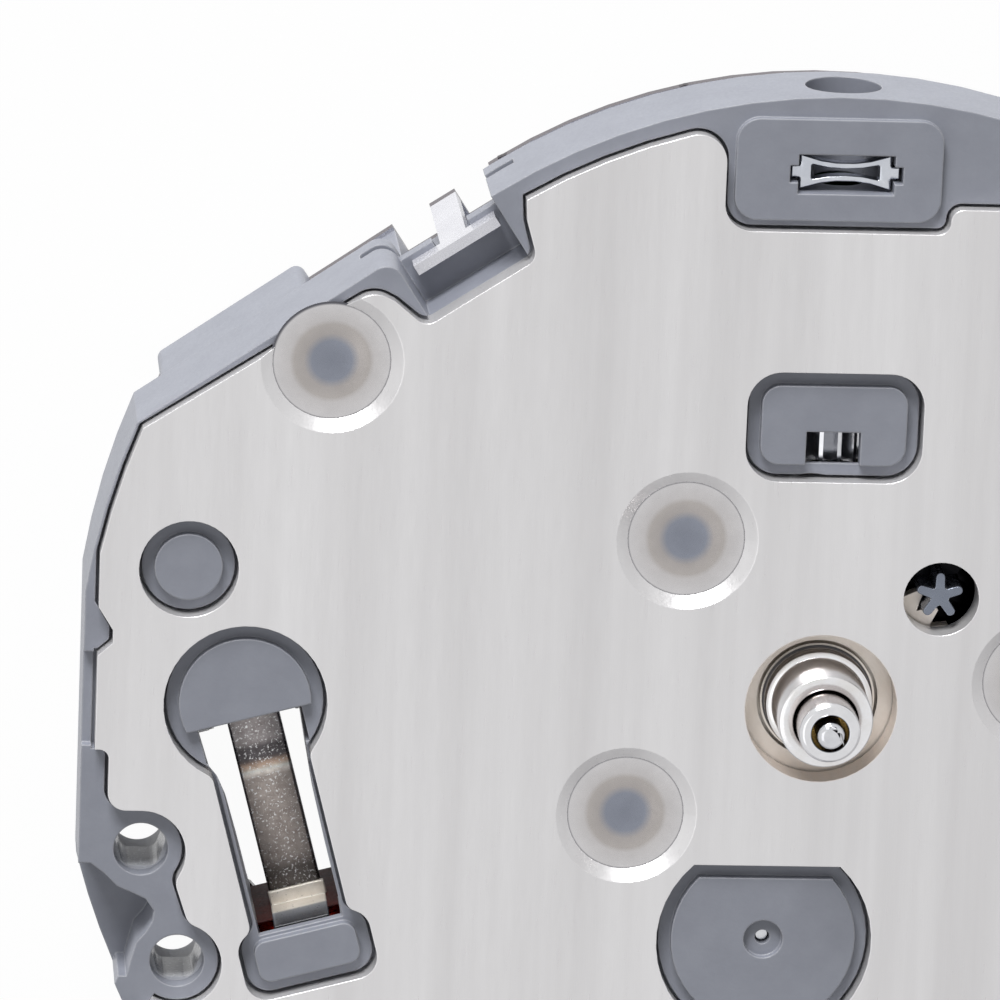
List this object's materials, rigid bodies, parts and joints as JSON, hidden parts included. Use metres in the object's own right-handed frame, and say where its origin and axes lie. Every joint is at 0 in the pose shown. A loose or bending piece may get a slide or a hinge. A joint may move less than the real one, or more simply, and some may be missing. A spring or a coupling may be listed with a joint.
{
  "type": "quartz watch movement",
  "caption": "Quartz watch movement: nickelled main plate over a grey resin frame, hand posts, stepping motor, gear train, keyless work, battery and hooked back cover.",
  "frame": {"origin": "on the hands' axis, in the plane of the main plate's dial face", "axes": "+Z out of the dial side along the hands' axis, +X to six o'clock, +Y to three o'clock where the stem enters"},
  "size_m": [0.0178, 0.015, 0.0044],
  "materials": {
    "nickel_plate": "satin nickel-plated brass",
    "grey_resin": "moulded grey resin",
    "pillar_steel": "turned and polished",
    "permalloy": "annealed dull grey",
    "copper_wire": "enamelled copper wire",
    "bright_steel": "bright rolled steel",
    "board_green": "glass-fibre circuit board",
    "bridge_resin": "moulded resin",
    "cell_steel": "drawn steel can",
    "brass_sheet": "stamped brass",
    "black_resin": "moulded black resin",
    "film_amber": "polyimide film",
    "white_resin": "acetal resin",
    "magnet": "sintered magnet"
  },
  "bodies": {
    "movement_base": {"base_frame": "grey_resin", "main_plate": "nickel_plate", "bridge_pillars": "pillar_steel", "stator": "permalloy", "coil_core": "permalloy", "coil_winding": "copper_wire", "coil_collar": "bright_steel", "coil_terminals": "board_green", "train_bridge": "bridge_resin", "stem_clip": "bright_steel", "keyless_plate": "bright_steel", "battery_cell": "cell_steel", "battery_contact": "brass_sheet", "circuit_board": "board_green", "circuit_chip": "black_resin", "quartz_crystal": "cell_steel", "insulator_sheet": "film_amber", "back_cover": "bright_steel", "battery_clamp": "bright_steel"},
    "seconds_body": {"seconds_arbor": "bright_steel", "seconds_wheel": "white_resin"},
    "fifth_body": {"fifth_wheel": "white_resin"},
    "rotor_body": {"rotor_pinion": "white_resin", "rotor_magnet": "magnet"},
    "third_body": {"third_wheel": "white_resin"},
    "centre_body": {"centre_wheel": "brass_sheet", "cannon_pinion": "pillar_steel"},
    "minute_body": {"minute_wheel": "black_resin"},
    "hour_body": {"hour_wheel": "brass_sheet"},
    "setting_wheel_body": {"setting_wheel": "white_resin"},
    "setting_lever_body": {"setting_lever": "bright_steel"},
    "yoke_body": {"yoke": "bright_steel"},
    "clutch_body": {"clutch_wheel": "pillar_steel"},
    "reset_lever_body": {"reset_lever": "bright_steel"}
  },
  "joints": [
    {"name": "seconds_spin", "type": "hinge", "parent": "movement_base", "child": "seconds_body", "pos_m": [0, 0, -0.0015], "axis": [0, 0, 1], "continuous": true},
    {"name": "fifth_spin", "type": "hinge", "parent": "movement_base", "child": "fifth_body", "pos_m": [0.0002, -0.00172, -0.0015], "axis": [0, 0, 1], "continuous": true},
    {"name": "rotor_spin", "type": "hinge", "parent": "movement_base", "child": "rotor_body", "pos_m": [-0.00056, -0.00298, -0.0015], "axis": [0, 0, 1], "continuous": true},
    {"name": "third_spin", "type": "hinge", "parent": "movement_base", "child": "third_body", "pos_m": [0.00066, 0.00156, -0.0015], "axis": [0, 0, 1], "continuous": true},
    {"name": "centre_spin", "type": "hinge", "parent": "movement_base", "child": "centre_body", "pos_m": [0, 0, -0.0015], "axis": [0, 0, 1], "continuous": true},
    {"name": "minute_spin", "type": "hinge", "parent": "movement_base", "child": "minute_body", "pos_m": [0.0014, 0.0014, -0.0015], "axis": [0, 0, 1], "continuous": true},
    {"name": "hour_spin", "type": "hinge", "parent": "movement_base", "child": "hour_body", "pos_m": [0, 0, -0.0015], "axis": [0, 0, 1], "continuous": true},
    {"name": "setting_spin", "type": "hinge", "parent": "movement_base", "child": "setting_wheel_body", "pos_m": [-0.00023, 0.00214, -0.0015], "axis": [0, 0, 1], "continuous": true},
    {"name": "setting_lever_turn", "type": "hinge", "parent": "movement_base", "child": "setting_lever_body", "pos_m": [-0.0019, 0.0054, -0.0015], "axis": [0, 0, 1], "range_deg": [0, 13.05]},
    {"name": "yoke_turn", "type": "hinge", "parent": "movement_base", "child": "yoke_body", "pos_m": [0.0022, 0.0052, -0.0015], "axis": [0, 0, 1], "range_deg": [0, 5.25]},
    {"name": "clutch_slide", "type": "slide", "parent": "movement_base", "child": "clutch_body", "axis": [0, -1, 0], "range_m": [0, 0.0002]},
    {"name": "reset_lever_turn", "type": "hinge", "parent": "movement_base", "child": "reset_lever_body", "pos_m": [0.00275, 0.0032, -0.0015], "axis": [0, 0, 1], "range_deg": [-7.25, 0]}
  ],
  "couplings": [
    {"joint": "fifth_spin", "follows": "seconds_spin", "ratio": -5},
    {"joint": "rotor_spin", "follows": "seconds_spin", "ratio": 30},
    {"joint": "third_spin", "follows": "seconds_spin", "ratio": -0.13333},
    {"joint": "centre_spin", "follows": "seconds_spin", "ratio": 0.016667},
    {"joint": "minute_spin", "follows": "seconds_spin", "ratio": -0.011111},
    {"joint": "hour_spin", "follows": "seconds_spin", "ratio": 0.0013889},
    {"joint": "setting_spin", "follows": "seconds_spin", "ratio": 0.022222},
    {"joint": "setting_lever_turn", "follows": "clutch_slide", "rad_per_m": 1134.5},
    {"joint": "yoke_turn", "follows": "clutch_slide", "rad_per_m": 453.79},
    {"joint": "reset_lever_turn", "follows": "clutch_slide", "rad_per_m": -628.32}
  ]
}
